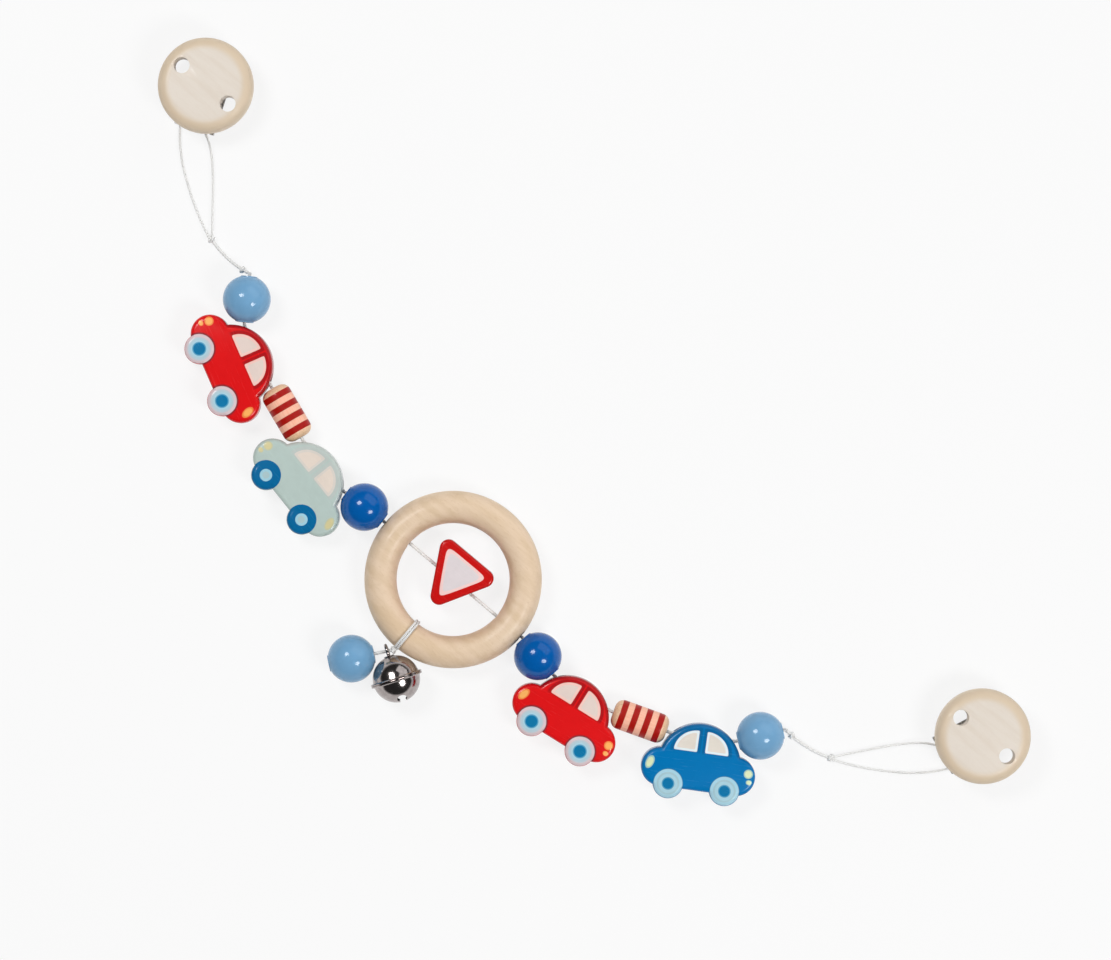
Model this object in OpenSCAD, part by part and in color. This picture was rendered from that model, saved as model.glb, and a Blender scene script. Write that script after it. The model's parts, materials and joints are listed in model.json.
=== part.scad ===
// Pram chain: a cord strung with wooden cars, striped rollers, beads and a grip ring, with a
// clip at each end. It lies flat, wheels towards -Y and roofs towards +Y, as it would hang.

/* [Grip ring] */
// Outer diameter of the wooden ring
ring_od = 56; // [50:0.5:66]
// Thickness of the ring's round section
ring_section_d = 10.2; // [8:0.2:11]
// Bore through the ring for the main cord
ring_bore_d = 3; // [2.4:0.1:4]

/* [Beads] */
// Diameter of every round bead
bead_d = 15.2; // [14:0.1:16.4]

/* [Striped rollers] */
// Diameter of a roller
roller_d = 9.5; // [8.4:0.1:10.6]
// Length of a roller along the cord
roller_l = 18; // [16:0.25:22]
// Rounding of a roller's ends
roller_round_r = 3; // [1.5:0.1:3.4]

/* [Cars] */
// Length over nose and tail
car_l = 36.2; // [33:0.2:40]
// Thickness of the board a car is cut from
car_t = 10; // [8.6:0.2:11]
// Radius of the nose and of the tail
car_nose_r = 6.1; // [5.4:0.1:6.6]
// Radius of the cabin's arc
car_cabin_r = 13.2; // [12.4:0.1:14]
// Height of the roof over the wheel centres
car_roof_h = 20; // [19:0.1:21]
// Height of the cord bore over the wheel centres
car_bore_h = 15.8; // [15:0.1:16.6]
// Wheel radius
car_wheel_r = 4.8; // [4:0.1:5.6]
// Distance between the wheel centres
car_wheelbase = 17.9; // [16:0.1:20]
// Height of the nose arc's centre over the wheel centres
car_nose_h = 4.9; // [4.4:0.1:5.4]
// Rounding of the board's edges
car_edge_r = 1.5; // [0.6:0.1:2]

/* [Triangle sign] */
// Width along the flat edge
sign_w = 20.5; // [17:0.25:22]
// Height from the flat edge to the point
sign_h = 19; // [16:0.25:21]
// Thickness of the sign
sign_t = 8; // [6:0.25:9.5]
// Radius of the corners
sign_corner_r = 2.8; // [2:0.1:3.6]
// Rounding of the sign's edges
sign_edge_r = 1; // [0.5:0.1:1.5]
// Bore through the sign
sign_bore_d = 2.2; // [1.8:0.1:3]

/* [Cord] */
// Diameter of the cord
cord_d = 1.2; // [1:0.05:1.4]
// Gap between the ring and its bead, along the cord
ring_gap = 0.5; // [0.4:0.05:1]
// Gap between a bead and a car, along the cord
bead_gap = 1.2; // [1:0.05:1.8]
// Gap between a roller and a car, along the cord
roller_gap = 1.8; // [1.6:0.05:2.4]
// Clearance of the cord in a bore
cord_clear = 0.1; // [0.05:0.01:0.2]

/* [Clips] */
// Diameter of a clip's wooden disc
disc_d = 30; // [28:0.5:34]
// Thickness of the disc
disc_t = 8; // [6:0.25:10]
// Rounding of the disc's front edge
disc_round_r = 3.6; // [1:0.1:4.5]
// Diameter of the two holes through the disc
vent_d = 5; // [3:0.25:6]
// Distance between the holes' centres
vent_pitch = 18.8; // [17:0.2:21]
// Thickness of the clip's steel sheet
sheet_t = 0.8; // [0.6:0.05:1]
// Width of the clip's base plate
base_w = 13; // [12:0.25:15]
// Hinge pin diameter
pin_d = 1.6; // [1.4:0.05:2]
// Height of the hinge pin over the base's underside
pin_z = 3.9; // [3.7:0.05:4.4]
// Running clearance of the pin in its ears, on the radius
pin_clear = 0.05; // [0.02:0.01:0.1]
// Diameter of the bar that the cord loops round
bar_d = 1.6; // [1.2:0.05:2]
// Height of the bar over the base's underside
bar_z = 2.6; // [2.4:0.05:2.8]
// Distance from the disc's centre to the bar
bar_reach = 12.3; // [11.8:0.1:13]
// Distance from the disc's centre to the hinge pin
pin_reach = 11.5; // [11:0.1:12]
// Thickness of the jaw pad
pad_t = 0.5; // [0.3:0.05:0.6]
// Gap between neighbours that move past each other
run_gap = 0.3; // [0.2:0.05:0.4]

/* [Bell] */
// Diameter of the bell's two shells
bell_d = 15; // [13:0.25:15.5]
// Wall of the shells
bell_wall = 0.5; // [0.4:0.05:0.8]
// Diameter over the seam flange
bell_flange_d = 16.8; // [16:0.1:17.4]
// Width of the sound slot
bell_slot_w = 2; // [1.4:0.1:2.6]
// Diameter of the pellet
pellet_d = 3.6; // [2.8:0.1:4.4]

/* [Layout] */
// Distance of each clip's centre from the middle, along X
clip_x = 159.5; // [158:0.5:161]
// Distance of each clip's centre above the ring's centre, along Y
clip_y = 69.3; // [68.5:0.1:70]
// Direction from a clip's centre to its cord, on the right
clip_turn = -112; // [-116:1:-108]

/* [Hidden] */
$fn = 48;

// Colours as the photo shows them
wood_colour = "#E2C4A0";
cord_colour = "#E0E0E0";
steel_colour = "#C8CACC";
red_colour = "#DC1418";
dark_blue_colour = "#0A55A8";
light_blue_colour = "#73A3CB";

// Heights: each piece rests on the surface, and the cord runs level through oversize bores
cord_r = cord_d / 2;
bead_r = bead_d / 2;
roller_r = roller_d / 2;
cord_z = (bead_r + roller_r) / 2;
bore_d = 2 * (bead_r - cord_z) + cord_d + 2 * cord_clear;
ring_section_r = ring_section_d / 2;
ring_mid_r = ring_od / 2 - ring_section_r;
ring_z = ring_section_r + cord_clear + cord_d;

// Car outline about the point midway between the wheel centres
car_nose_u = car_l / 2 - car_nose_r;
car_cabin_v = car_roof_h - car_cabin_r;
car_floor_v = car_nose_h - car_nose_r;
car_mouth_u = sqrt(pow(car_cabin_r, 2) - pow(car_bore_h - car_cabin_v, 2));

// The strung pieces of one arm, from the ring outwards: dark bead, car, roller, car, light bead
LEFT = 0;
RIGHT = 1;
halves = [bead_r, car_mouth_u, roller_l / 2, car_mouth_u, bead_r];
gaps = [ring_gap, bead_gap, roller_gap, roller_gap, bead_gap, bead_gap];
// Heading of the cord in each piece, on an arm drawn towards +X
headings = [[-3, 11.5, 19.5, 26.5, 56], [-10, 8, 20, 32, 53]];
// Half of the slit between two cord stretches, where the chain bends
bend_slit = 0.25;

function along(angle) = [cos(angle), sin(angle)];
// Place in the gap before piece i where the chain bends
function bend(side, i) = i == 0 ? [ring_od / 2 + gaps[0] / 2, 0]
    : bend(side, i - 1) + (gaps[i - 1] / 2 + 2 * halves[i - 1] + gaps[i] / 2) * along(headings[side][i - 1]);
function middle(side, i) = bend(side, i) + (gaps[i] / 2 + halves[i]) * along(headings[side][i]);

// The pendant: a doubled cord round the ring's lowest place, with a bell and a bead
loop_r = ring_section_r + cord_clear + cord_r;
strand_press = 0.95;
strand_x = strand_press * cord_r;
strand_start = [0, -ring_mid_r - loop_r];
strand_heading = -128;
strand_l = 13.9;
eye_at = 2.3;
eye_r = 1.9;
eye_wire_r = 0.5;
bell_heading = -32;
bell_r = bell_d / 2;
bell_z = bell_flange_d / 2;
pendant_z = bead_r;
flange_t = 0.6;
slot_end_ratio = 0.8;
eye_sink = 0.2;
bell_reach = bell_r + eye_r - eye_sink;
pendant_mid = strand_start + strand_l * along(strand_heading);
eye_mid = strand_start + eye_at * along(strand_heading);
bell_mid = eye_mid + bell_reach * along(bell_heading);

// The origin lies below the middle of the chain's outline, on the surface it lies on
top_y = clip_y + disc_d / 2;
bottom_y = pendant_mid[1] - bead_r;
origin_y = (top_y + bottom_y) / 2;

// Clip heights and widths, in the clip's own frame: +x towards the cord
lever_rise = 2.1;
disc_z = pin_z + lever_rise;
lever_w = 8;
lever_tail = 7;
nose_r = 0.8;
lever_ear_t = 1;
base_ear_t = 0.8;
base_ear_gap = 0.4;
screw_d = 2;
screw_head_d = 4;
screw_head_t = 0.9;
screw_l = 4;
screw_x = [-4, 3];
ear_r = 1.6;
cam_r = 2;
bar_arm_w = 1.4;
slot_l = 2.6;
pad_l = 4.8;

// Free cord, right side, about the ring's centre, chosen by hand. The lead runs straight from the
// last bead to the knot of the loop: share of its way, height and radius, with two knots on it
loop_knot = [129.0, 33.4];
lead_run = [
    [0.10, 5.7, 0.6], [0.16, 5.3, 1.2], [0.25, 4.7, 1.2], [0.31, 4.3, 0.6], [0.48, 3.0, 0.6],
    [0.64, 2.0, 0.6], [0.78, 1.6, 0.6], [0.85, 1.6, 1.4], [0.93, 1.6, 1.6], [1.0, 1.6, 1.1]
];
over_leg = [
    [128.9, 34.9, 1.5], [131.4, 38.0, 0.8], [134.6, 42.0, 0.7], [138.0, 46.2, 0.7], [141.5, 50.2, 0.7],
    [145.0, 53.8, 1.2], [148.2, 56.4, 2.4], [151.0, 58.0, 3.8]
];
under_leg = [
    [158.6, 55.0, 0.7], [156.4, 51.8, 0.7], [153.4, 48.6, 0.7], [149.8, 45.4, 0.7], [145.6, 42.4, 0.7],
    [141.0, 39.4, 0.7], [136.4, 36.8, 0.7], [132.6, 34.9, 0.9], [129.4, 33.5, 1.5]
];
// The cord's half turn round the bar, in the clip's frame
wrap_r = bar_d / 2 + cord_clear + cord_r;
wrap_half_w = 2.6;
wrap_steps = 5;
function wrap_point(k) =
    let (t = k / (wrap_steps - 1), turn = 90 + 180 * t, x = bar_reach + wrap_r * cos(turn),
         y = wrap_half_w * (2 * t - 1))
    [clip_x + x * cos(clip_turn) - y * sin(clip_turn), clip_y + x * sin(clip_turn) + y * cos(clip_turn),
     bar_z + wrap_r * sin(turn)];
function with_radius(route) = [for (p = route) [p[0], p[1], p[2], cord_r]];
loop_route = with_radius(concat(over_leg, [for (k = [0:wrap_steps - 1]) wrap_point(k)], under_leg));
function lead_points(side) =
    let (start = bend(side, 5) + bend_slit * along(headings[side][4]), way = loop_knot - start)
    concat([[start[0], start[1], cord_z, cord_r]],
           [for (p = lead_run) [start[0] + p[0] * way[0], start[1] + p[0] * way[1], p[1], p[2]]]);

// Sweep of a round tube along points [x, y, z, radius], with frames carried from ring to ring
tube_sides = 8;
function xyz(p) = [p[0], p[1], p[2]];
function unit(v) = v / norm(v);
function tangent(route, i) =
    unit(xyz(route[min(i + 1, len(route) - 1)]) - xyz(route[max(i - 1, 0)]));
function carried(normal, t) = unit(normal - (normal * t) * t);
function normals(route, i = 0, last = [0, 0, 1], found = []) = i == len(route) ? found
    : let (n = carried(last, tangent(route, i))) normals(route, i + 1, n, concat(found, [n]));

module tube(route) {
    frames = normals(route);
    points = [for (i = [0:len(route) - 1])
        let (t = tangent(route, i), n = frames[i], b = cross(t, n))
        for (k = [0:tube_sides - 1])
            xyz(route[i]) + route[i][3] * (cos(k * 360 / tube_sides) * n + sin(k * 360 / tube_sides) * b)];
    count = len(points);
    walls = [for (i = [0:len(route) - 2], k = [0:tube_sides - 1])
        let (a = i * tube_sides + k, b = i * tube_sides + (k + 1) % tube_sides)
        each [[a, b, b + tube_sides], [a, b + tube_sides, a + tube_sides]]];
    first_end = [for (k = [1:tube_sides - 2]) [0, k + 1, k]];
    last = count - tube_sides;
    last_end = [for (k = [1:tube_sides - 2]) [last, last + k, last + k + 1]];
    polyhedron(points, [for (f = concat(walls, first_end, last_end)) [f[0], f[2], f[1]]]);
}

// Everything is drawn about the ring's centre and moved to the origin here
module about_ring() translate([0, -origin_y, 0]) children();

module on_side(side) about_ring() mirror([side == LEFT ? 1 : 0, 0, 0]) children();

module strung(side, i) {
    m = middle(side, i);
    on_side(side) translate([m[0], m[1], 0]) rotate(headings[side][i]) children();
}

module at_clip(side) on_side(side) translate([clip_x, clip_y, 0]) rotate(clip_turn) children();

// A disc lying in XY with its edges rounded, as cut from a board
module edged_disc(r, t, edge) rotate_extrude() intersection() {
    union() {
        square([r - edge, t]);
        translate([0, edge]) square([r, t - 2 * edge]);
        for (z = [edge, t - edge]) translate([r - edge, z]) circle(edge);
    }
    square([r, t]);
}

module bore_along_x(d, l) rotate([0, 90, 0]) cylinder(d = d, h = l, center = true);

module ring() color(wood_colour) about_ring() difference() {
    translate([0, 0, ring_z]) rotate_extrude($fn = 96) translate([ring_mid_r, 0]) circle(ring_section_r);
    translate([0, 0, cord_z]) bore_along_x(ring_bore_d, 2 * ring_od);
}

module ring_cord() color(cord_colour) about_ring() translate([0, 0, cord_z])
    bore_along_x(cord_d, ring_od + ring_gap - 2 * bend_slit);

// A triangle with one flat edge towards +Y and its point towards -Y
module sign() {
    half_w = sign_w / 2 - sign_corner_r;
    half_h = sign_h / 2 - sign_corner_r;
    corners = [[-half_w, half_h], [half_w, half_h], [0, -half_h]];
    color(red_colour) about_ring() translate([0, 0, cord_z - sign_t / 2]) difference() {
        hull() for (corner = corners)
            translate(corner) edged_disc(sign_corner_r, sign_t, sign_edge_r, $fn = 32);
        translate([0, 0, sign_t / 2]) bore_along_x(sign_bore_d, 2 * sign_w);
    }
}

module bead_body() difference() {
    translate([0, 0, bead_r]) sphere(d = bead_d);
    translate([0, 0, bead_r]) bore_along_x(bore_d, 2 * bead_d);
}

module bead(side, i, shade) color(shade) strung(side, i) bead_body();

module roller(side) color("#F0BE98") strung(side, 2) translate([0, 0, roller_r]) rotate([0, 90, 0])
    difference() {
        translate([0, 0, -roller_l / 2]) edged_disc(roller_r, roller_l, roller_round_r);
        cylinder(d = bore_d, h = 2 * roller_l, center = true);
    }

// The cabin's arc, kept to the part that stands above the body
module car_cabin() intersection() {
    translate([0, car_cabin_v, 0]) edged_disc(car_cabin_r, car_t, car_edge_r);
    translate([-car_l / 2, car_nose_h, 0]) cube([car_l, car_roof_h, car_t]);
}

// The slab between nose and tail, with its underside edges rounded
module car_slab() {
    l = 2 * car_nose_u;
    top_v = car_nose_h + car_nose_r - car_edge_r;
    translate([-l / 2, car_floor_v + car_edge_r, 0]) cube([l, top_v - car_floor_v - car_edge_r, car_t]);
    translate([-l / 2, car_floor_v, car_edge_r]) cube([l, 2 * car_edge_r, car_t - 2 * car_edge_r]);
    for (z = [car_edge_r, car_t - car_edge_r])
        translate([0, car_floor_v + car_edge_r, z]) bore_along_x(2 * car_edge_r, l);
}

module car(side, i, shade) color(shade) strung(side, i) difference() {
    translate([0, -car_bore_h, 0]) {
        car_cabin();
        car_slab();
        for (end = [-1, 1]) {
            translate([end * car_nose_u, car_nose_h, 0]) edged_disc(car_nose_r, car_t, car_edge_r);
            translate([end * car_wheelbase / 2, 0, 0]) edged_disc(car_wheel_r, car_t, car_edge_r);
        }
    }
    translate([0, 0, car_t / 2]) bore_along_x(bore_d, 2 * car_l);
}

// The stretch of cord inside one strung piece, from bend to bend
module strung_cord(side, i) {
    before = gaps[i] / 2 - bend_slit;
    after = gaps[i + 1] / 2 - bend_slit;
    l = before + 2 * halves[i] + after;
    color(cord_colour) strung(side, i) translate([(after - before) / 2, 0, cord_z]) bore_along_x(cord_d, l);
}

module lead(side) color(cord_colour) on_side(side) tube(lead_points(side));

module clip_loop(side) color(cord_colour) on_side(side) tube(loop_route);

// Wooden front of a clip, flat behind and rounded in front, with two holes right through
module clip_disc(side) color("#DDD2C4") at_clip(side) translate([0, 0, disc_z]) difference() {
    rotate_extrude($fn = 96) intersection() {
        union() {
            square([disc_d / 2 - disc_round_r, disc_t]);
            square([disc_d / 2, disc_t - disc_round_r]);
            translate([disc_d / 2 - disc_round_r, disc_t - disc_round_r]) circle(disc_round_r);
        }
        square([disc_d / 2, disc_t]);
    }
    for (end = [-1, 1])
        rotate(-clip_turn) translate([end * vent_pitch / 2, 0, -1]) cylinder(d = vent_d, h = disc_t + 2);
    for (x = screw_x)
        translate([x, 0, -1]) cylinder(d = screw_d + 2 * pin_clear, h = 1 + screw_l + run_gap);
}

module across_clip(d, l) rotate([90, 0, 0]) cylinder(d = d, h = l, center = true);

// Sprung lever behind the disc: a plate, two ears on the pin and a nose that grips the cloth
module clip_lever(side) {
    top = disc_z;
    nose_z = sheet_t + pad_t + run_gap;
    ear_y = lever_w / 2 - lever_ear_t;
    color(steel_colour) at_clip(side) difference() {
        union() {
            translate([-pin_reach - cam_r, -lever_w / 2, top - sheet_t])
                cube([pin_reach + cam_r + lever_tail, lever_w, sheet_t]);
            for (y = [-lever_w / 2, ear_y]) translate([-pin_reach, y, 0]) {
                translate([-cam_r, 0, pin_z]) cube([2 * cam_r, lever_ear_t, top - pin_z]);
                translate([0, lever_ear_t / 2, pin_z]) across_clip(2 * cam_r, lever_ear_t);
            }
            translate([-pin_reach, 0, nose_z + nose_r]) across_clip(2 * nose_r, lever_w);
        }
        translate([-pin_reach, 0, pin_z]) across_clip(pin_d + 2 * pin_clear, 2 * base_w);
        for (x = screw_x) translate([x, 0, 0]) cylinder(d = screw_d + 2 * pin_clear, h = 2 * disc_z);
    }
}

// Two small screws that hold the lever to the disc
module clip_screws(side) color(steel_colour) at_clip(side) for (x = screw_x)
    translate([x, 0, disc_z - sheet_t]) {
        translate([0, 0, -screw_head_t]) cylinder(d = screw_head_d, h = screw_head_t);
        cylinder(d = screw_d, h = sheet_t + screw_l);
    }

// Steel base: a plate with ears for the pin and a raised bar for the cord
module clip_base(side) {
    plate_end = bar_reach - slot_l;
    ear_y = lever_w / 2 + base_ear_gap;
    arm_y = base_w / 2 - bar_arm_w;
    color(steel_colour) at_clip(side) {
        difference() {
            union() {
                translate([-pin_reach - cam_r, -base_w / 2, 0])
                    cube([pin_reach + cam_r + plate_end, base_w, sheet_t]);
                for (y = [-ear_y - base_ear_t, ear_y]) translate([-pin_reach, y, 0]) {
                    translate([-ear_r, 0, 0]) cube([2 * ear_r, base_ear_t, pin_z]);
                    translate([0, base_ear_t / 2, pin_z]) across_clip(2 * ear_r, base_ear_t);
                }
            }
            translate([-pin_reach, 0, pin_z]) across_clip(pin_d + 2 * pin_clear, 2 * base_w);
        }
        for (y = [-base_w / 2, arm_y]) translate([plate_end - sheet_t, y, 0]) {
            cube([slot_l + sheet_t + bar_d, bar_arm_w, sheet_t]);
            translate([slot_l + sheet_t - bar_d, 0, 0]) cube([2 * bar_d, bar_arm_w, bar_z + bar_d / 2]);
        }
        translate([bar_reach, 0, bar_z]) across_clip(bar_d, base_w);
    }
}

module clip_jaw_pad(side) color("#404448") at_clip(side)
    translate([-pin_reach - cam_r, -lever_w / 2, sheet_t]) cube([pad_l, lever_w, pad_t]);

module clip_pin(side) color(steel_colour) at_clip(side) translate([-pin_reach, 0, pin_z])
    across_clip(pin_d, lever_w + 2 * (base_ear_gap + base_ear_t));

// Two strands side by side round the ring, drawn together to one that ends in the bead
module pendant_cord() color(cord_colour) about_ring() {
    for (x = [-strand_x, strand_x]) translate([x, -ring_mid_r, ring_z]) rotate([0, 90, 0])
        rotate_extrude() translate([loop_r, 0]) circle(d = cord_d);
    translate([strand_start[0], strand_start[1], pendant_z]) rotate(strand_heading)
        rotate([0, 90, 0]) cylinder(d = cord_d, h = strand_l + bead_r / 2);
}

module pendant_bead() color(light_blue_colour) about_ring()
    translate([pendant_mid[0], pendant_mid[1], 0]) rotate(strand_heading) bead_body();

// The bell's own frame has +Z along its axis, towards the eye
module at_bell() about_ring() translate([bell_mid[0], bell_mid[1], bell_z])
    rotate(bell_heading) rotate([0, -90, 0]) children();

module bell_half() {
    intersection() {
        difference() {
            sphere(r = bell_r);
            sphere(r = bell_r - bell_wall);
        }
        cylinder(r = 2 * bell_r, h = bell_r);
    }
    difference() {
        cylinder(d = bell_flange_d, h = flange_t);
        translate([0, 0, -1]) cylinder(r = bell_r - bell_wall / 2, h = flange_t + 2);
    }
}

module bell_upper_shell() color(steel_colour) at_bell() bell_half();

module bell_lower_shell() color(steel_colour) at_bell() mirror([0, 0, 1]) difference() {
    bell_half();
    translate([-bell_r / 2, -bell_slot_w / 2, bell_r / 2]) cube([bell_r, bell_slot_w, bell_r]);
    for (x = [-bell_r / 2, bell_r / 2])
        translate([x, 0, bell_r / 2]) cylinder(r = slot_end_ratio * bell_slot_w, h = bell_r);
}

// Wire eye that stands on the upper shell, round the pendant cord
module bell_eye() color(steel_colour) at_bell() difference() {
    translate([0, 0, bell_reach]) rotate([90, 0, 0])
        rotate_extrude() translate([eye_r, 0]) circle(eye_wire_r);
    sphere(r = bell_r);
}

// Loose pellet, lying on the lowest place inside the bell
module bell_pellet() {
    floor_z = bell_z - bell_r + bell_wall + run_gap;
    color(steel_colour) about_ring()
        translate([bell_mid[0], bell_mid[1], floor_z + pellet_d / 2]) sphere(d = pellet_d);
}

ring();
ring_cord();
sign();
bead(LEFT, 0, dark_blue_colour);  // left_dark_bead
car(LEFT, 1, "#B8C8C2");  // left_inner_car
roller(LEFT);  // left_roller
car(LEFT, 3, red_colour);  // left_outer_car
bead(LEFT, 4, light_blue_colour);  // left_light_bead
bead(RIGHT, 0, dark_blue_colour);  // right_dark_bead
car(RIGHT, 1, red_colour);  // right_inner_car
roller(RIGHT);  // right_roller
car(RIGHT, 3, "#0074BA");  // right_outer_car
bead(RIGHT, 4, light_blue_colour);  // right_light_bead
strung_cord(LEFT, 0);  // left_dark_bead_cord
strung_cord(LEFT, 1);  // left_inner_car_cord
strung_cord(LEFT, 2);  // left_roller_cord
strung_cord(LEFT, 3);  // left_outer_car_cord
strung_cord(LEFT, 4);  // left_light_bead_cord
strung_cord(RIGHT, 0);  // right_dark_bead_cord
strung_cord(RIGHT, 1);  // right_inner_car_cord
strung_cord(RIGHT, 2);  // right_roller_cord
strung_cord(RIGHT, 3);  // right_outer_car_cord
strung_cord(RIGHT, 4);  // right_light_bead_cord
lead(LEFT);  // left_lead
clip_loop(LEFT);  // left_clip_loop
lead(RIGHT);  // right_lead
clip_loop(RIGHT);  // right_clip_loop
clip_disc(LEFT);  // left_clip_disc
clip_lever(LEFT);  // left_clip_lever
clip_screws(LEFT);  // left_clip_screws
clip_base(LEFT);  // left_clip_base
clip_jaw_pad(LEFT);  // left_clip_jaw_pad
clip_pin(LEFT);  // left_clip_pin
clip_disc(RIGHT);  // right_clip_disc
clip_lever(RIGHT);  // right_clip_lever
clip_screws(RIGHT);  // right_clip_screws
clip_base(RIGHT);  // right_clip_base
clip_jaw_pad(RIGHT);  // right_clip_jaw_pad
clip_pin(RIGHT);  // right_clip_pin
pendant_cord();
pendant_bead();
bell_upper_shell();
bell_lower_shell();
bell_eye();
bell_pellet();
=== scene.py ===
# %% [markdown]
# # A wooden pram chain
# A pram chain is a cord strung with small wooden toys and a clip at each end. This lesson dresses
# the imported CAD chain: every CAD body already moves as it should, so each new piece is modelled at
# the same place, in metres, and rides on its body.

# %% Load the imported chain
import json
import math

import bpy
import numpy as np
from mathutils import Matrix, Vector


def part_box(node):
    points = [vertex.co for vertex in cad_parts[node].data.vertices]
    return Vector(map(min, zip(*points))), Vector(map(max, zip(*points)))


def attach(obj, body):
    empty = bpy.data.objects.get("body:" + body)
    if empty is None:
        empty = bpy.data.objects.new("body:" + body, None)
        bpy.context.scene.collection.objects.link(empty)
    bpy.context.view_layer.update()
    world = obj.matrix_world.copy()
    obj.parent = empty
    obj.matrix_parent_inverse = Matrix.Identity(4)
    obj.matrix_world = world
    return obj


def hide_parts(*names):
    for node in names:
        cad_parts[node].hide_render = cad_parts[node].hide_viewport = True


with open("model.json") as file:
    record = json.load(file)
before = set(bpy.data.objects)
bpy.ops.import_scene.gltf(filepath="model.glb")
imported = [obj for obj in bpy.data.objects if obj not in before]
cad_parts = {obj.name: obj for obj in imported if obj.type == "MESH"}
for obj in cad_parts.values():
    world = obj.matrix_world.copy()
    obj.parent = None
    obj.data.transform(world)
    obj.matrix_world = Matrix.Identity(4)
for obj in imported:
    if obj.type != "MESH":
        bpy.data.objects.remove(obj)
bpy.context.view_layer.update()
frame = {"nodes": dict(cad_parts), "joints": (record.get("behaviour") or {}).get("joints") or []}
nodes = frame["nodes"]
joints = {joint["name"]: joint for joint in frame["joints"]}
MM = 0.001
SIDES = ("left", "right")
STRUNG = ("dark_bead", "inner_car", "roller", "outer_car", "light_bead")
ring_low, ring_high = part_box("ring")
ring_centre = (ring_low + ring_high) / 2

# %% [markdown]
# ## The camera
# The photograph looks straight down on the chain from well above, and the picture is turned about
# forty degrees against the chain. A long lens far away gives the same mild perspective. The camera
# needs no tilt: it already looks along -Z, so one turn about Z is enough.

# %% Camera
camera_turn = math.radians(39.94)
camera_height = 1.45
view_width = 0.3505
aim = Vector((ring_centre.x + 0.0046, ring_centre.y + 0.0448, 0.006))
bpy.ops.object.select_all(action="DESELECT")
bpy.ops.object.camera_add(location=(aim.x, aim.y, camera_height), rotation=(0, 0, camera_turn))
camera = bpy.context.object
camera.data.sensor_fit = "HORIZONTAL"
camera.data.lens = camera.data.sensor_width * (camera_height - aim.z) / view_width
camera.data.clip_start = 0.01
bpy.context.scene.camera = camera
print("camera lens", round(camera.data.lens, 1))

# %% [markdown]
# ## The cord
# One thin white cord of three twisted strands carries everything. It could be a bevelled curve, but a
# curve stays smooth, and the twist is what makes a cord look like cord. So a tube is swept along a
# smooth path here, and its cross-section of three strands turns as it goes. The ends are rounded
# about the bending places, so that two stretches still meet when the chain bends.

# %% A smooth path and the twisted cord
cord_r = 0.55
loop_cord_r = 0.38
twist_pitch = 3.4
strand_reach, strand_r = 0.4, 0.6
cord_sides = 24
cap_angles = np.radians([75, 55, 35, 15])
path_step, span_steps = 0.3, 24
askew = (0.3, 0.1, 1.0)


def through(points):
    """An evenly spaced smooth path, in mm, through the points."""
    p = np.array(points, float)
    p = np.vstack([2 * p[0] - p[1], p, 2 * p[-1] - p[-2]])
    t = np.linspace(0, 1, span_steps, endpoint=False)[:, None]
    spans = []
    for a, b, c, d in zip(p[:-3], p[1:-2], p[2:-1], p[3:]):
        spans.append(0.5 * (2 * b + (c - a) * t + (2 * a - 5 * b + 4 * c - d) * t ** 2
                            + (3 * b - a - 3 * c + d) * t ** 3))
    dense = np.vstack(spans + [p[-2:-1]])
    run = np.concatenate([[0], np.cumsum(np.linalg.norm(np.diff(dense, axis=0), axis=1))])
    even = np.linspace(0, run[-1], max(3, int(run[-1] / path_step) + 1))
    return np.column_stack([np.interp(even, run, dense[:, k]) for k in range(3)])


def carried_frames(path):
    """Tangents and normals that turn as little as possible along the path."""
    tangents = np.gradient(path, axis=0)
    tangents /= np.linalg.norm(tangents, axis=1)[:, None]
    normal = np.cross(tangents[0], askew)
    normals = []
    for t in tangents:
        normal = normal - normal.dot(t) * t
        normal = normal / np.linalg.norm(normal)
        normals.append(normal)
    return tangents, np.array(normals)


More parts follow.
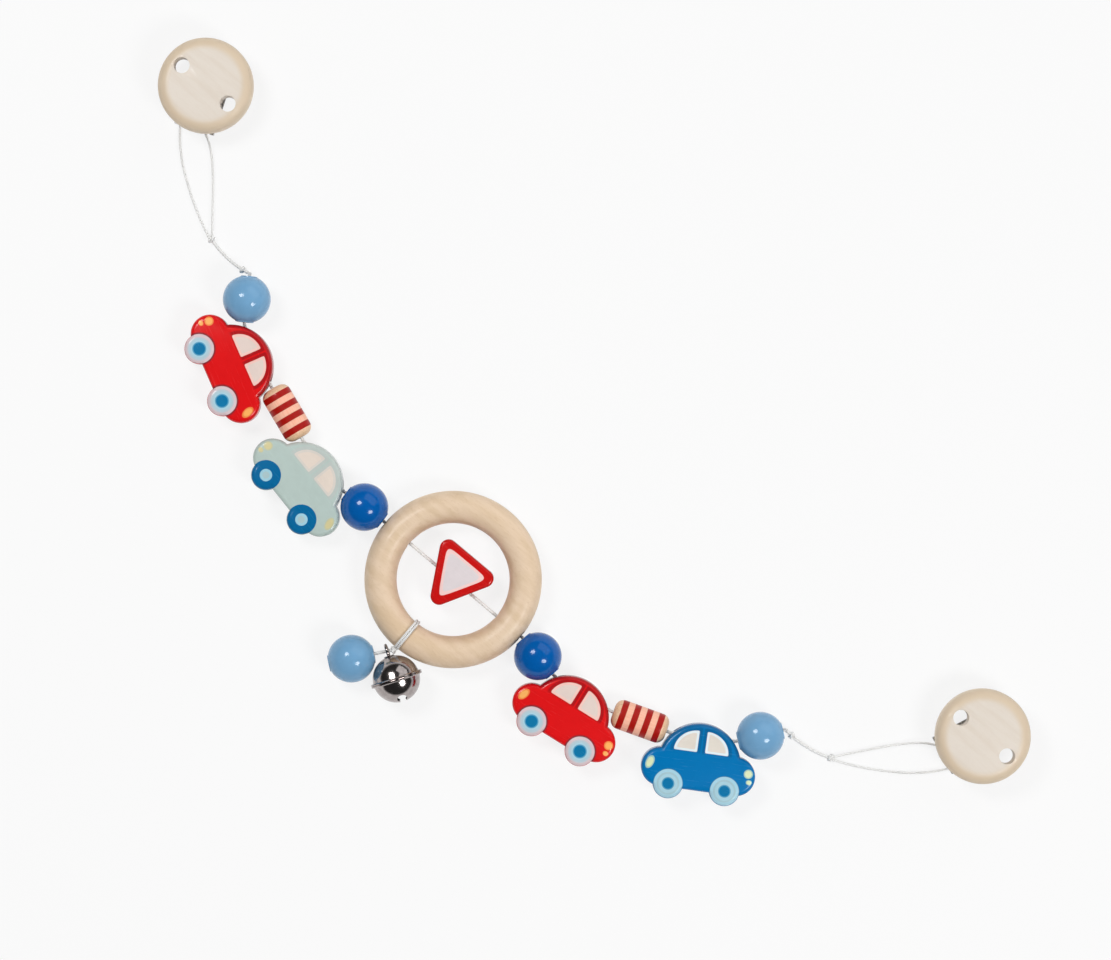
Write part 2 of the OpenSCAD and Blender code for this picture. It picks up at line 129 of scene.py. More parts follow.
def twisted_cord(name, points, radius=cord_r):
    """Twisted cord through points in mm, with rounded ends. Gives the object and its path in metres."""
    path = through(points)
    tangents, normals = carried_frames(path)
    run = np.concatenate([[0], np.cumsum(np.linalg.norm(np.diff(path, axis=0), axis=1))])
    caps = len(cap_angles)
    reach = radius * np.sin(cap_angles)
    centres = np.vstack([path[0] - reach[:, None] * tangents[0], path,
                         path[-1] + reach[::-1, None] * tangents[-1]])
    scale = np.concatenate([np.cos(cap_angles), np.ones(len(path)), np.cos(cap_angles)[::-1]])
    run = np.concatenate([-reach, run, run[-1] + reach[::-1]])
    t = np.vstack([np.repeat(tangents[:1], caps, 0), tangents, np.repeat(tangents[-1:], caps, 0)])
    n = np.vstack([np.repeat(normals[:1], caps, 0), normals, np.repeat(normals[-1:], caps, 0)])
    b = np.cross(t, n)
    turn = np.linspace(0, 2 * np.pi, cord_sides, endpoint=False)
    lobe = (turn[None, :] - 2 * np.pi * run[:, None] / twist_pitch) % (2 * np.pi / 3) - np.pi / 3
    reach_out = (strand_reach * np.cos(lobe)
                 + np.sqrt(strand_r ** 2 - (strand_reach * np.sin(lobe)) ** 2))
    out = np.cos(turn)[None, :, None] * n[:, None] + np.sin(turn)[None, :, None] * b[:, None]
    walls = centres[:, None] + radius * (scale[:, None] * reach_out)[:, :, None] * out
    tips = np.array([path[0] - radius * tangents[0], path[-1] + radius * tangents[-1]])
    verts = np.vstack([walls.reshape(-1, 3), tips])
    rows = len(centres)
    first_tip, last_tip = rows * cord_sides, rows * cord_sides + 1
    last_row = (rows - 1) * cord_sides
    faces = []
    for row in range(0, last_row, cord_sides):
        for k in range(cord_sides):
            j = (k + 1) % cord_sides
            faces.append((row + k, row + j, row + cord_sides + j, row + cord_sides + k))
    for k in range(cord_sides):
        j = (k + 1) % cord_sides
        faces.append((first_tip, j, k))
        faces.append((last_tip, last_row + k, last_row + j))
    mesh = bpy.data.meshes.new(name)
    mesh.from_pydata((verts * MM).tolist(), [], faces)
    mesh.polygons.foreach_set("use_smooth", [True] * len(mesh.polygons))
    along = np.concatenate([np.repeat(run, cord_sides), [run[0], run[-1]]])
    around = np.concatenate([np.tile(turn * radius, rows), [0, 0]])
    measure = np.column_stack([along, around, 0 * along]).astype(np.float32)
    local = mesh.attributes.new("local", "FLOAT_VECTOR", "POINT")
    local.data.foreach_set("vector", measure.ravel())
    mesh.update()
    cord = bpy.data.objects.new(name, mesh)
    bpy.context.collection.objects.link(cord)
    return cord, path * MM


def only(obj):
    """Selects one object and nothing else."""
    bpy.ops.object.select_all(action="DESELECT")
    obj.select_set(True)
    bpy.context.view_layer.objects.active = obj


def joined(name, parts):
    """Several meshes as one piece."""
    only(parts[0])
    for part in parts[1:]:
        part.select_set(True)
    bpy.ops.object.join()
    parts[0].name = parts[0].data.name = name
    return parts[0]


knot_cord_r = 0.45


def knot(name, at, heading, size):
    """A small overhand knot drawn up round the cord that runs through it."""
    t = np.linspace(0, 2 * np.pi, 40)
    wide = 2 + np.cos(3 * t)
    turns = np.column_stack([np.sin(3 * t), wide * np.cos(2 * t), wide * np.sin(2 * t)])
    x = np.array(heading, float) / np.linalg.norm(heading)
    y = np.cross((0, 0, 1), x)
    y /= np.linalg.norm(y)
    places = np.array(at) + size * turns @ np.array([x, y, np.cross(x, y)])
    return twisted_cord(name, places, radius=knot_cord_r)[0]


print("cord", 2 * cord_r, "mm thick, in the clip loops", 2 * loop_cord_r, "mm")


# %% The strung stretches, from one bending place to the next
def joint_mm(name):
    """A joint's place in mm."""
    return np.array(joints[name]["pos_m"]) / MM


cords = {}
ring_ends = [joint_mm("left_dark_bead_bend"), joint_mm("right_dark_bead_bend")]
cords["ring_cord"] = twisted_cord("ring_cord_twisted", np.linspace(ring_ends[0], ring_ends[1], 8))[0]
for side in SIDES:
    stops = [f"{side}_{piece}_bend" for piece in STRUNG] + [f"{side}_end_cord_swing"]
    for piece, start, end in zip(STRUNG, stops, stops[1:]):
        node = f"{side}_{piece}_cord"
        cords[node] = twisted_cord(node + "_twisted", np.linspace(joint_mm(start), joint_mm(end), 6))[0]
print("strung stretches", len(cords))

# %% [markdown]
# ### The free cord at each end
# Past the last bead the cord hangs free: a stopper knot, a short lead that sags a little, a second
# knot and a loop round the clip's bar. The route is drawn once, for the right end, and mirrored for the
# left. The lead is given by shares of its way and heights, the loop by points about the ring's centre.

# %% Leads, knots and loops
row_y = ring_centre.y / MM
loop_knot = (129.0, 33.4)
lead_run = [(0.10, 5.7), (0.25, 4.7), (0.31, 4.3), (0.48, 3.0),
            (0.64, 2.0), (0.78, 1.6), (0.93, 1.6), (1.0, 1.6)]
lead_sag = 1.1
stopper_at, stopper_size, stopper_dip = (0.145, 5.4), 0.30, -5
junction_at, junction_size = (0.93, 1.55), 0.34
over_leg = [(127.9, 33.6, 1.5), (131.4, 38.0, 0.8), (134.6, 42.0, 0.7), (138.0, 46.2, 0.7),
            (141.5, 50.2, 0.7), (145.0, 53.8, 1.2), (148.2, 56.4, 2.4), (151.0, 58.0, 3.8)]
under_leg = [(158.6, 55.0, 0.7), (156.4, 51.8, 0.7), (153.4, 48.6, 0.7), (149.8, 45.4, 0.7),
             (145.6, 42.4, 0.7), (141.0, 39.4, 0.7), (136.4, 36.8, 0.7), (132.6, 34.9, 0.9),
             (129.4, 33.5, 1.5)]
clip_at = np.array([159.5, 69.3])
clip_turn = math.radians(-112)
bar_reach, bar_z, wrap_r, wrap_half = 12.3, 2.6, 1.5, 2.6


def round_the_bar():
    """The cord's half turn round the bar, from above it to below it."""
    out = np.array([math.cos(clip_turn), math.sin(clip_turn)])
    across = np.array([-out[1], out[0]])
    turn = np.radians(np.linspace(90, 270, 7))
    reach = bar_reach + wrap_r * np.cos(turn)
    slide = np.linspace(-wrap_half, wrap_half, 7)
    flat = clip_at + reach[:, None] * out + slide[:, None] * across
    return np.column_stack([flat, bar_z + wrap_r * np.sin(turn)])


def on_side(side, route):
    """A route on the right, about the ring's centre, moved to the row and mirrored for the left."""
    route = np.array(route, float) + (0, row_y, 0)
    return route * ((1 if side == "right" else -1), 1, 1)


def on_lead(start, way, share, height):
    """A point on the lead's way, at its height. As far as the junction, it sags away from the roofs."""
    to_junction = min(1.0, share / junction_at[0])
    sag = 4 * lead_sag * to_junction * (1 - to_junction)
    return (start[0] + share * way[0], start[1] + share * way[1] - sag, height)


loop_route = np.vstack([over_leg, round_the_bar(), under_leg])
loops, leads = {}, {}
for side in SIDES:
    start = joint_mm(f"{side}_end_cord_swing")
    way = on_side(side, [(*loop_knot, 0)])[0] - start
    stops = [start] + [on_lead(start, way, *stop) for stop in lead_run]
    lead = twisted_cord(f"{side}_lead_twisted", stops)[0]
    stopper = knot("stopper", on_lead(start, way, *stopper_at), (*way[:2], stopper_dip), stopper_size)
    junction = knot("junction", on_lead(start, way, *junction_at), (*way[:2], 0), junction_size)
    leads[side] = joined(f"{side}_lead_twisted", [lead, stopper, junction])
    route = on_side(side, loop_route)
    loops[side] = twisted_cord(f"{side}_clip_loop_twisted", route, radius=loop_cord_r)
    run = np.linalg.norm(np.diff(loops[side][1], axis=0), axis=1).sum()
    print(side, "loop length", round(float(run), 4), "m")

# %% [markdown]
# ### The pendant's cord
# A doubled cord is hitched round the ring at its lowest place and drawn together to one strand, which
# goes through the bell's eye and the bead. A knot inside the bead's far mouth holds the bead.

# %% Hitch, strand and knots of the pendant
strand_start = np.array([0, -28.7 + row_y, 7.6])
strand_turn = math.radians(-128)
strand_out = np.array([math.cos(strand_turn), math.sin(strand_turn), 0])
strand_l = 19.8
ring_mid_r, ring_z, loop_r, strand_x = 22.9, 6.4, 5.65, 0.42
hitch_r = 0.42
tie_at, tie_size, end_knot_size = 0.4, 0.3, 0.42
turn = np.linspace(0.2, 2 * math.pi - 0.2, 30)
hitches = []
for x in (-strand_x, strand_x):
    ring_round = np.column_stack([x + 0 * turn, row_y - ring_mid_r - loop_r * np.cos(turn),
                                  ring_z + loop_r * np.sin(turn)])
    ring_round[0] = strand_start + (x / 3, 0, 0)
    ring_round[-1] = strand_start + (x / 3, 0.1, -0.6)
    hitches.append(twisted_cord("hitch", ring_round, radius=hitch_r)[0])
strand_end = strand_start + strand_l * strand_out
strand = twisted_cord("strand", np.linspace(strand_start, strand_end, 8))[0]
tie = knot("tie", strand_start + tie_at * strand_out, strand_out, tie_size)
end_knot = knot("end_knot", strand_end, strand_out, end_knot_size)
pendant_cord = joined("pendant_cord_twisted", hitches + [strand, tie, end_knot])
print("pendant cord faces", len(pendant_cord.data.polygons))

# %% [markdown]
# ## Stage and light
# The photograph has a white ground, and each glossy bead shows two bright spots, from a soft lamp to
# either side. Two lamps give those spots and most of the light. A third, wide and weak, comes from the
# roofs' side like a window and makes the beads look round. The world is pale at the horizon and nearly
# dark overhead, which keeps the lacquer deep in colour and lets the bell show its dark middle.
# The floor is plain pale paper. What the camera and the bell see of it is partly its own white, so the
# ground is white without more light on the chain, and the chain's soft shadow stays.

# %% Floor and lamps
bpy.ops.object.select_all(action="DESELECT")
bpy.ops.mesh.primitive_plane_add(size=12, location=(0, 0, -0.0004))
floor = bpy.context.object
floor.name = "paper_floor"


def area_light(name, place, shape, length, width, power):
    """A flat light that still looks straight down."""
    bpy.ops.object.select_all(action="DESELECT")
    bpy.ops.object.light_add(type="AREA", location=place)
    light = bpy.context.object
    light.name = name
    light.data.shape = shape
    light.data.size = length
    light.data.size_y = width
    light.data.energy = power
    return light


lamp_distance, lamp_length, lamp_width, lamp_power = 1.2, 0.46, 0.36, 7.3
for name, tilt in (("left_lamp", -32), ("right_lamp", 38)):
    lean = math.radians(tilt)
    place = (aim.x + lamp_distance * math.sin(lean), aim.y, lamp_distance * math.cos(lean))
    lamp = area_light(name, place, "ELLIPSE", lamp_length, lamp_width, lamp_power)
    lamp.rotation_mode = "ZYX"
    lamp.rotation_euler = (0, lean, camera_turn)

window_distance, window_length, window_width, window_power = 1.6, 1.8, 1.1, 6.5
window_lift = math.radians(38)
place = aim + window_distance * Vector((0, math.cos(window_lift), math.sin(window_lift)))
window = area_light("window_light", place, "RECTANGLE", window_length, window_width, window_power)
window.rotation_euler = (aim - place).to_track_quat("-Z", "Y").to_euler()

bpy.context.scene.view_settings.view_transform = "Standard"
print("lamps", lamp_power, "W each")

# %% [markdown]
# ## Finishes
# Each finish is mixed from nodes. A piece carries its own measure, an attribute called local, which
# gives every point in the piece's own millimetres before it was put in its place. Prints, stripes and
# grain read that measure, so they stay on the piece when it moves.

# %% Small helpers for mixing a finish
def colour(code):
    """A colour as it looks on screen, in the linear numbers that a shader wants."""
    parts = [int(code[i:i + 2], 16) / 255 for i in (1, 3, 5)]
    return [c / 12.92 if c <= 0.04045 else ((c + 0.055) / 1.055) ** 2.4 for c in parts] + [1.0]


def new_finish(name, roughness, coat=0.0, metallic=0.0, specular=0.5):
    """A material, its node tree and its main shader."""
    material = bpy.data.materials.new(name)
    material.use_nodes = True
    shader = material.node_tree.nodes["Principled BSDF"]
    numbers = {"Roughness": roughness, "Metallic": metallic, "Specular IOR Level": specular,
               "Coat Weight": coat, "Coat Roughness": 0.05}
    for socket, number in numbers.items():
        shader.inputs[socket].default_value = number
    return material, material.node_tree, shader


def put(tree, kind, sockets=None, **settings):
    """Adds a node, and sets or links its sockets."""
    node = tree.nodes.new(kind)
    for key, value in settings.items():
        setattr(node, key, value)
    for key, value in (sockets or {}).items():
        if isinstance(value, bpy.types.NodeSocket):
            tree.links.new(value, node.inputs[key])
        else:
            node.inputs[key].default_value = value
    return node


def calc(tree, operation, a, b=0.0, c=0.0):
    """A sum, product or the like of numbers."""
    return put(tree, "ShaderNodeMath", {0: a, 1: b, 2: c}, operation=operation).outputs[0]


def vector(tree, operation, a, b=(0, 0, 0)):
    """The same for vectors; a length or a distance comes out as a number."""
    made = put(tree, "ShaderNodeVectorMath", {0: a, 1: b}, operation=operation)
    return made.outputs["Value" if operation in ("LENGTH", "DISTANCE") else "Vector"]


def between(tree, value, low, high, to_low=0.0, to_high=1.0):
    """A soft step: to_low where the value is under low, to_high where it is over high."""
    sockets = {"Value": value, "From Min": low, "From Max": high, "To Min": to_low, "To Max": to_high}
    made = put(tree, "ShaderNodeMapRange", sockets, interpolation_type="SMOOTHSTEP")
    return made.outputs["Result"]


def over(tree, below, shade, mask):
    """A colour laid over another where the mask is 1."""
    made = put(tree, "ShaderNodeMix", {0: mask, 6: below, 7: shade}, data_type="RGBA")
    return made.outputs[2]


def local_measure(tree):
    """The piece's own millimetres, as a vector and as its three parts."""
    place = put(tree, "ShaderNodeAttribute", attribute_name="local").outputs["Vector"]
    parts = put(tree, "ShaderNodeSeparateXYZ", {0: place})
    return place, parts.outputs[0], parts.outputs[1], parts.outputs[2]


def grain(tree, place, stretch, scale=1.0, detail=5.0):
    """Noise drawn out along the wood's fibres."""
    drawn = vector(tree, "MULTIPLY", place, stretch)
    sockets = {"Vector": drawn, "Scale": scale, "Detail": detail, "Roughness": 0.6}
    return put(tree, "ShaderNodeTexNoise", sockets).outputs[0]


def surface(tree, shader, shade, height, strength, depth, gloss=None):
    """Gives a shader its colour, a bump from a height, and an uneven gloss."""
    bump = put(tree, "ShaderNodeBump", {"Height": height, "Strength": strength, "Distance": depth})
    tree.links.new(shade, shader.inputs["Base Color"])
    tree.links.new(bump.outputs["Normal"], shader.inputs["Normal"])
    if gloss is not None:
        tree.links.new(gloss, shader.inputs["Roughness"])


print("helpers ready")

# %% [markdown]
# ### Lacquer
# The beads and cars are sprayed with gloss lacquer on wood. Under a clear top layer the colour varies
# a little, and the wood's fibres raise it very slightly. A coat on the shader gives the crisp spots,
# and a weak bump from drawn-out noise gives the fibres.

# %% Lacquer and plain colours
lacquer_bump, bump_depth = 0.06, 0.0002


def lacquer(tree, shader, place, base):
    """Finishes a colour as lacquer on wood: slight clouds, raised fibres and uneven gloss."""
    fibres = grain(tree, place, (0.12, 1.3, 1.3))
    clouds = grain(tree, place, (0.25, 0.25, 0.25), detail=2.0)
    darker = put(tree, "ShaderNodeHueSaturation", {"Value": 0.90, "Color": base}).outputs[0]
    fleck = between(tree, clouds, 0.35, 0.75, 0.0, 0.45)
    gloss = between(tree, fibres, 0.2, 0.8, 0.20, 0.30)
    surface(tree, shader, over(tree, base, darker, fleck), fibres, lacquer_bump, bump_depth, gloss)


def painted(name, code):
    """A bead's lacquer in one colour."""
    material, tree, shader = new_finish(name, 0.3, coat=0.5, specular=0.08)
    lacquer(tree, shader, local_measure(tree)[0], colour(code))
    return material


dark_blue = painted("dark_blue_lacquer", "#005BA9")
light_blue = painted("light_blue_lacquer", "#75A6CC")
print("lacquers", dark_blue.name, light_blue.name)

# %% [markdown]
# ### Bare wood, cord and metal
# The ring and the clip discs are smooth pale wood with long soft fibres and short dark flecks. The
# cord is matt and white. The bell is bright nickel with fine scratches, and the hidden parts of the
# clips are brushed plated steel, with jaw pads of matt soft plastic. Noise that is drawn out one way
# gives fibres and brush marks, and even noise gives fuzz, scratches and pores.

# %% Wood
rim_shade_fade, wood_bump = 2.4, 0.25


def bare_wood(name, pale, deep, fleck_code, marks, rim=None):
    """Smooth bare wood. Marks is the strength of its lines; a rim is a radius in mm and a painted shade
    colour beyond it.
    """
    material, tree, shader = new_finish(name, 0.5, coat=0.08)
    place = local_measure(tree)[0]
    bands = grain(tree, place, (0.035, 0.30, 0.30), detail=4.0)
    fibres = grain(tree, place, (0.25, 3.2, 3.2), detail=6.0)
    flecks = grain(tree, place, (0.45, 2.2, 2.2), scale=1.3, detail=1.0)
    wood = over(tree, colour(pale), colour(deep), between(tree, bands, 0.35, 0.68))
    wood = over(tree, wood, colour(fleck_code), between(tree, flecks, 0.60, 0.74, 0.0, marks))
    wood = over(tree, wood, colour(fleck_code), between(tree, fibres, 0.5, 0.8, 0.0, marks))
    # Painted shade: the rounded edge is tinted darker and warmer from the rim's radius outwards.
    if rim:
        rim_start, rim_shade_code = rim
        reach = vector(tree, "LENGTH", vector(tree, "MULTIPLY", place, (1, 1, 0)))
        rim_shade_mask = between(tree, reach, rim_start, rim_start + rim_shade_fade, 0.0, 0.8)
        wood = over(tree, wood, colour(rim_shade_code), rim_shade_mask)
    gloss = between(tree, fibres, 0.2, 0.8, 0.42, 0.58)
    surface(tree, shader, wood, fibres, wood_bump, bump_depth, gloss)
    return material


ring_wood = bare_wood("ring_wood", "#E7CEB2", "#DCC1A0", "#C9A67E", marks=0.32)
# The discs' rim colour is painted shade on their rounded edge.
disc_wood = bare_wood("disc_wood", "#E1D7CB", "#DCD0C2", "#CDBBA2", marks=0.12, rim=(10.6, "#D8C2A4"))
print("woods", ring_wood.name, disc_wood.name)

# %% Cord, nickel, steel and the jaw pad
fine_depth = 0.0001


def cord_finish():
    """White cord with a little fuzz."""
    material, tree, shader = new_finish("white_cord", 0.75)
    fuzz = grain(tree, local_measure(tree)[0], (1.5, 6.0, 6.0))
    shade = over(tree, colour("#EFEFED"), colour("#D5D4D2"), between(tree, fuzz, 0.35, 0.75))
    surface(tree, shader, shade, fuzz, 0.3, fine_depth)
    shader.inputs["Sheen Weight"].default_value = 0.15
    return material


def metal(name, pale, deep, roughness, stretch, strength):
    """Plated metal, with noise in the row's own metres for scratches or brush marks."""
    material, tree, shader = new_finish(name, roughness, metallic=1.0)
    place = put(tree, "ShaderNodeTexCoord").outputs["Object"]
    marks = grain(tree, place, stretch, detail=3.0)
    shade = over(tree, colour(pale), colour(deep), between(tree, marks, 0.3, 0.7))
    gloss = between(tree, marks, 0.2, 0.8, roughness * 0.8, roughness * 1.3)
    surface(tree, shader, shade, marks, strength, fine_depth, gloss)
    return material


def pad_finish():
    """Matt soft plastic for the jaw pads."""
    material, tree, shader = new_finish("matt_pad", 0.8)
    place = put(tree, "ShaderNodeTexCoord").outputs["Object"]
    pores = grain(tree, place, (2600, 2600, 2600), detail=2.0)
    shade = over(tree, colour("#3C4043"), colour("#2E3235"), pores)
    surface(tree, shader, shade, pores, 0.4, fine_depth)
    return material


white_cord = cord_finish()
nickel = metal("bright_nickel", "#AFA7A5", "#9F9795", 0.13, (700, 700, 700), 0.02)
plated_steel = metal("plated_steel", "#CFD1D3", "#B4B6B8", 0.28, (250, 2500, 2500), 0.08)
matt_pad = pad_finish()
print("finishes", len(bpy.data.materials))

# %% [markdown]
# ### Paper and sky
# The stage is mixed with the same helpers. The floor could be lit until it is white, but then the chain
# would be too bright. So the paper gives off some white of its own, for the camera and for mirrored
# rays alone, and the sky's light falls off from the horizon upwards.

# %% The floor's paper and the sky
own_white = 0.87
paper, tree, shader = new_finish("pale_paper", 0.9, specular=0.0)
place = put(tree, "ShaderNodeTexCoord").outputs["Object"]
mottle = grain(tree, place, (6, 6, 6), detail=2.0)
shade = over(tree, colour("#F9F9F9"), colour("#F7F7F7"), mottle)
tree.links.new(shade, shader.inputs["Base Color"])
rays = put(tree, "ShaderNodeLightPath").outputs
mirrored = calc(tree, "MAXIMUM", rays["Is Glossy Ray"], rays["Is Transmission Ray"])
seen = calc(tree, "MAXIMUM", rays["Is Camera Ray"], mirrored)
glow = put(tree, "ShaderNodeEmission", {"Color": colour("#FBFBFB"), "Strength": 1.0})
share = calc(tree, "MULTIPLY", seen, own_white)
mixed = put(tree, "ShaderNodeMixShader", {0: share, 1: shader.outputs[0], 2: glow.outputs[0]})
tree.links.new(mixed.outputs[0], tree.nodes["Material Output"].inputs["Surface"])
floor.data.materials.append(paper)

haze_low, haze_high = 0.05, 0.2
horizon_light, overhead_light = 0.94, 0.04
world = bpy.data.worlds.new("studio")
bpy.context.scene.world = world
world.use_nodes = True
sky = world.node_tree
direction = put(sky, "ShaderNodeTexCoord").outputs["Generated"]
way_up = put(sky, "ShaderNodeSeparateXYZ", {0: direction}).outputs["Z"]
sockets = {"Value": way_up, "From Min": haze_low, "From Max": haze_high,
           "To Min": horizon_light, "To Max": overhead_light}
sky_shade = put(sky, "ShaderNodeMapRange", sockets).outputs["Result"]
sky.links.new(sky_shade, sky.nodes["Background"].inputs["Strength"])
sky.nodes["Background"].inputs["Color"].default_value = (1, 1, 1, 1)
print("paper", paper.name, "and sky", world.name)

# %% [markdown]
# ### Dressing a piece
# Every piece needs a finish, a CAD body to ride on, and the CAD nodes that it stands for. One helper
# says all three, so that none is forgotten. The cords are ready, so they come first.

# %% Dressing a piece, and the cords first
def dress(piece, finish, body, slot, *stands_for):
    """Gives a piece its finish and its body, and hides the CAD nodes that it stands for. The slot is
    not used.
    """
    piece.data.materials.clear()
    piece.data.materials.append(finish)
    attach(piece, body)
    if stands_for:
        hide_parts(*stands_for)


dress(cords["ring_cord"], white_cord, "ring", "cord", "ring_cord")
for side in SIDES:
    for piece in STRUNG:
        node = f"{side}_{piece}_cord"
        dress(cords[node], white_cord, node, "cord", node)
    dress(leads[side], white_cord, f"{side}_end_cord", "cord", f"{side}_lead")
    loop, path = loops[side]
    dress(loop, white_cord, f"{side}_end_cord", "cord", f"{side}_clip_loop")
dress(pendant_cord, white_cord, "pendant", "cord", "pendant_cord")
print("cords dressed", len(cords) + len(leads) + len(loops) + 1)

# %% [markdown]
# ## The grip ring
# A baby holds the chain by a turned wooden ring. A torus has the right section at once, so it only
# needs the bore for the cord, which a boolean cuts as a drill would, and softened rims at the mouths.

# %% Shaping helpers
def keep_local(piece):
    """Stores each point's own millimetres before the piece is put in its place."""
    mesh = piece.data
    values = np.empty(len(mesh.vertices) * 3, np.float32)
    mesh.vertices.foreach_get("co", values)
    local = mesh.attributes.new("local", "FLOAT_VECTOR", "POINT")
    local.data.foreach_set("vector", values / MM)


def apply_modifier(piece, kind, **settings):
    """Adds a modifier to a piece and applies it at once."""
    only(piece)
    modifier = piece.modifiers.new(kind.lower(), kind)
    for key, value in settings.items():
        setattr(modifier, key, value)
    bpy.ops.object.modifier_apply(modifier=modifier.name)


def drill(piece, radius, length, at=(0, 0, 0), along="X", sides=48):
    """Cuts a round hole, with its middle at a point in mm."""
    turn = {"X": (0, math.pi / 2, 0), "Z": (0, 0, 0)}[along]
    bpy.ops.object.select_all(action="DESELECT")
    bpy.ops.mesh.primitive_cylinder_add(vertices=sides, radius=radius * MM, depth=length * MM,
                                        location=[c * MM for c in at], rotation=turn)
    cutter = bpy.context.object
    apply_modifier(piece, "BOOLEAN", object=cutter, operation="DIFFERENCE", solver="EXACT")
    bpy.data.objects.remove(cutter)


def soften(piece, width):
    """Rounds a piece's sharp rims, with a width in mm."""
    apply_modifier(piece, "BEVEL", width=width * MM, segments=3, limit_method="ANGLE",
                   angle_limit=math.radians(50))


def smooth(piece, angle=38):
    """Smooth shading, except over edges that are sharper than an angle in degrees."""
    only(piece)
    bpy.ops.object.shade_smooth_by_angle(angle=math.radians(angle))


def put_in_place(piece, matrix):
    """Moves the mesh, not the object, and turns its faces out again where the place is mirrored."""
    piece.data.transform(matrix)
    if matrix.determinant() < 0:
        piece.data.flip_normals()
    piece.data.update()


def copy_of(pattern, name):
    """A piece like the pattern, with a mesh of its own."""
    piece = pattern.copy()
    piece.data = pattern.data.copy()
    piece.name = piece.data.name = name
    bpy.context.collection.objects.link(piece)
    return piece


print("shaping helpers ready")

# %% Ring
cord_z = 6.175
ring_section_r, ring_bore_r, ring_rim = 5.1, 1.5, 0.3
bpy.ops.object.select_all(action="DESELECT")
bpy.ops.mesh.primitive_torus_add(major_segments=192, minor_segments=64,
                                 major_radius=ring_mid_r * MM, minor_radius=ring_section_r * MM)
ring = bpy.context.object
ring.name = "grip_ring"
drill(ring, ring_bore_r, length=80, at=(0, 0, cord_z - ring_z))
soften(ring, ring_rim)
keep_local(ring)
smooth(ring)
put_in_place(ring, Matrix.Translation((ring_centre.x, ring_centre.y, ring_z * MM)))
dress(ring, ring_wood, "ring", "natural_wood", "ring")
print("ring faces", len(ring.data.polygons))

# %% [markdown]
# ## Beads and rollers
# Beads and rollers are turned on a lathe, so they are made like that here: half of the outline is
# drawn beside the axis, with the bore and its softened rim, and spun right round. One bead and one
# roller are turned, and the others are copies.

# %% Turning on a lathe
def arc(cx, cy, r, start, end, step=3.0):
    """Points on a circle in mm, from one angle to another in degrees, without the last."""
    count = max(2, int(abs(end - start) / step))
    turn = np.radians(np.linspace(start, end, count, endpoint=False))
    return [(cx + r * math.cos(a), cy + r * math.sin(a)) for a in turn]


def turned(name, outline, closed=True, steps=96):
    """Spins an outline of (along, radius) points in mm about the X axis."""
    mesh = bpy.data.meshes.new(name)
    count = len(outline)
    edges = [(i, i + 1) for i in range(count - 1)] + ([(count - 1, 0)] if closed else [])
    mesh.from_pydata([(x * MM, r * MM, 0) for x, r in outline], edges, [])
    piece = bpy.data.objects.new(name, mesh)
    bpy.context.collection.objects.link(piece)
    only(piece)
    bpy.ops.object.mode_set(mode="EDIT")
    bpy.ops.mesh.select_all(action="SELECT")
    bpy.ops.mesh.spin(steps=steps, angle=2 * math.pi, center=(0, 0, 0), axis=(1, 0, 0))
    bpy.ops.mesh.select_all(action="SELECT")
    bpy.ops.mesh.remove_doubles(threshold=2e-6)
    bpy.ops.mesh.normals_make_consistent(inside=False)
    bpy.ops.object.mode_set(mode="OBJECT")
    return piece


bead_r, bore_r, rim_r, rim_sink = 7.56, 2.125, 0.5, 0.62
shoulder = math.degrees(math.asin((bore_r + rim_r) / bead_r))
rim_x = bead_r * math.cos(math.radians(shoulder)) - rim_sink * rim_r
bead_outline = (arc(0, 0, bead_r, shoulder, 180 - shoulder)
                + arc(-rim_x, bore_r + rim_r, rim_r, 160, 270, 22)
                + [(-rim_x, bore_r), (rim_x, bore_r)]
                + arc(rim_x, bore_r + rim_r, rim_r, 270, 380, 22)[1:])
bead_pattern = turned("bead_pattern", bead_outline)
roller_r, roller_half, roller_round, face_turn, mouth_depth = 4.75, 8.95, 2.8, 12, 0.5
round_x, round_y = roller_half - roller_round, roller_r - roller_round
half_end = arc(round_x, round_y, roller_round, face_turn, 90, 6) + [(round_x, roller_r)]
roller_outline = (half_end + [(-x, r) for x, r in reversed(half_end)]
                  + [(-roller_half + mouth_depth, bore_r), (roller_half - mouth_depth, bore_r)])
roller_pattern = turned("roller_pattern", roller_outline)
for pattern in (bead_pattern, roller_pattern):
    keep_local(pattern)
    smooth(pattern)
print("bead faces", len(bead_pattern.data.polygons), "roller faces", len(roller_pattern.data.polygons))

# %% [markdown]
# ### Places and stripes
# A strung piece's joint says where it is and which way the cord runs, so the joint gives the piece's
# frame. The rollers' red rings could be bands of mesh, but on the real ones they are paint. So they
# are a pattern along the roller's own length, and only the bump raises them a little.

# %% Finding a strung piece's place
def strung_place(joint, lift=None):
    """The frame of a strung piece: X outwards along the cord, Y towards the roofs, Z up."""
    at = Vector(joints[joint]["pos_m"])
    out = Vector(joints[joint]["axis"])
    out = -out if out.x * at.x < 0 else out
    up = Vector((-out.y, out.x, 0))
    up = -up if up.y < 0 else up
    if lift is not None:
        at.z = lift
    return Matrix(((out.x, up.x, 0, at.x),
                   (out.y, up.y, 0, at.y),
                   (out.z, up.z, 1, at.z),
                   (0, 0, 0, 1)))


print("left roller at", tuple(strung_place("left_roller_spin").translation))

# %% Stripes on the rollers
stripe_pitch = 4.0


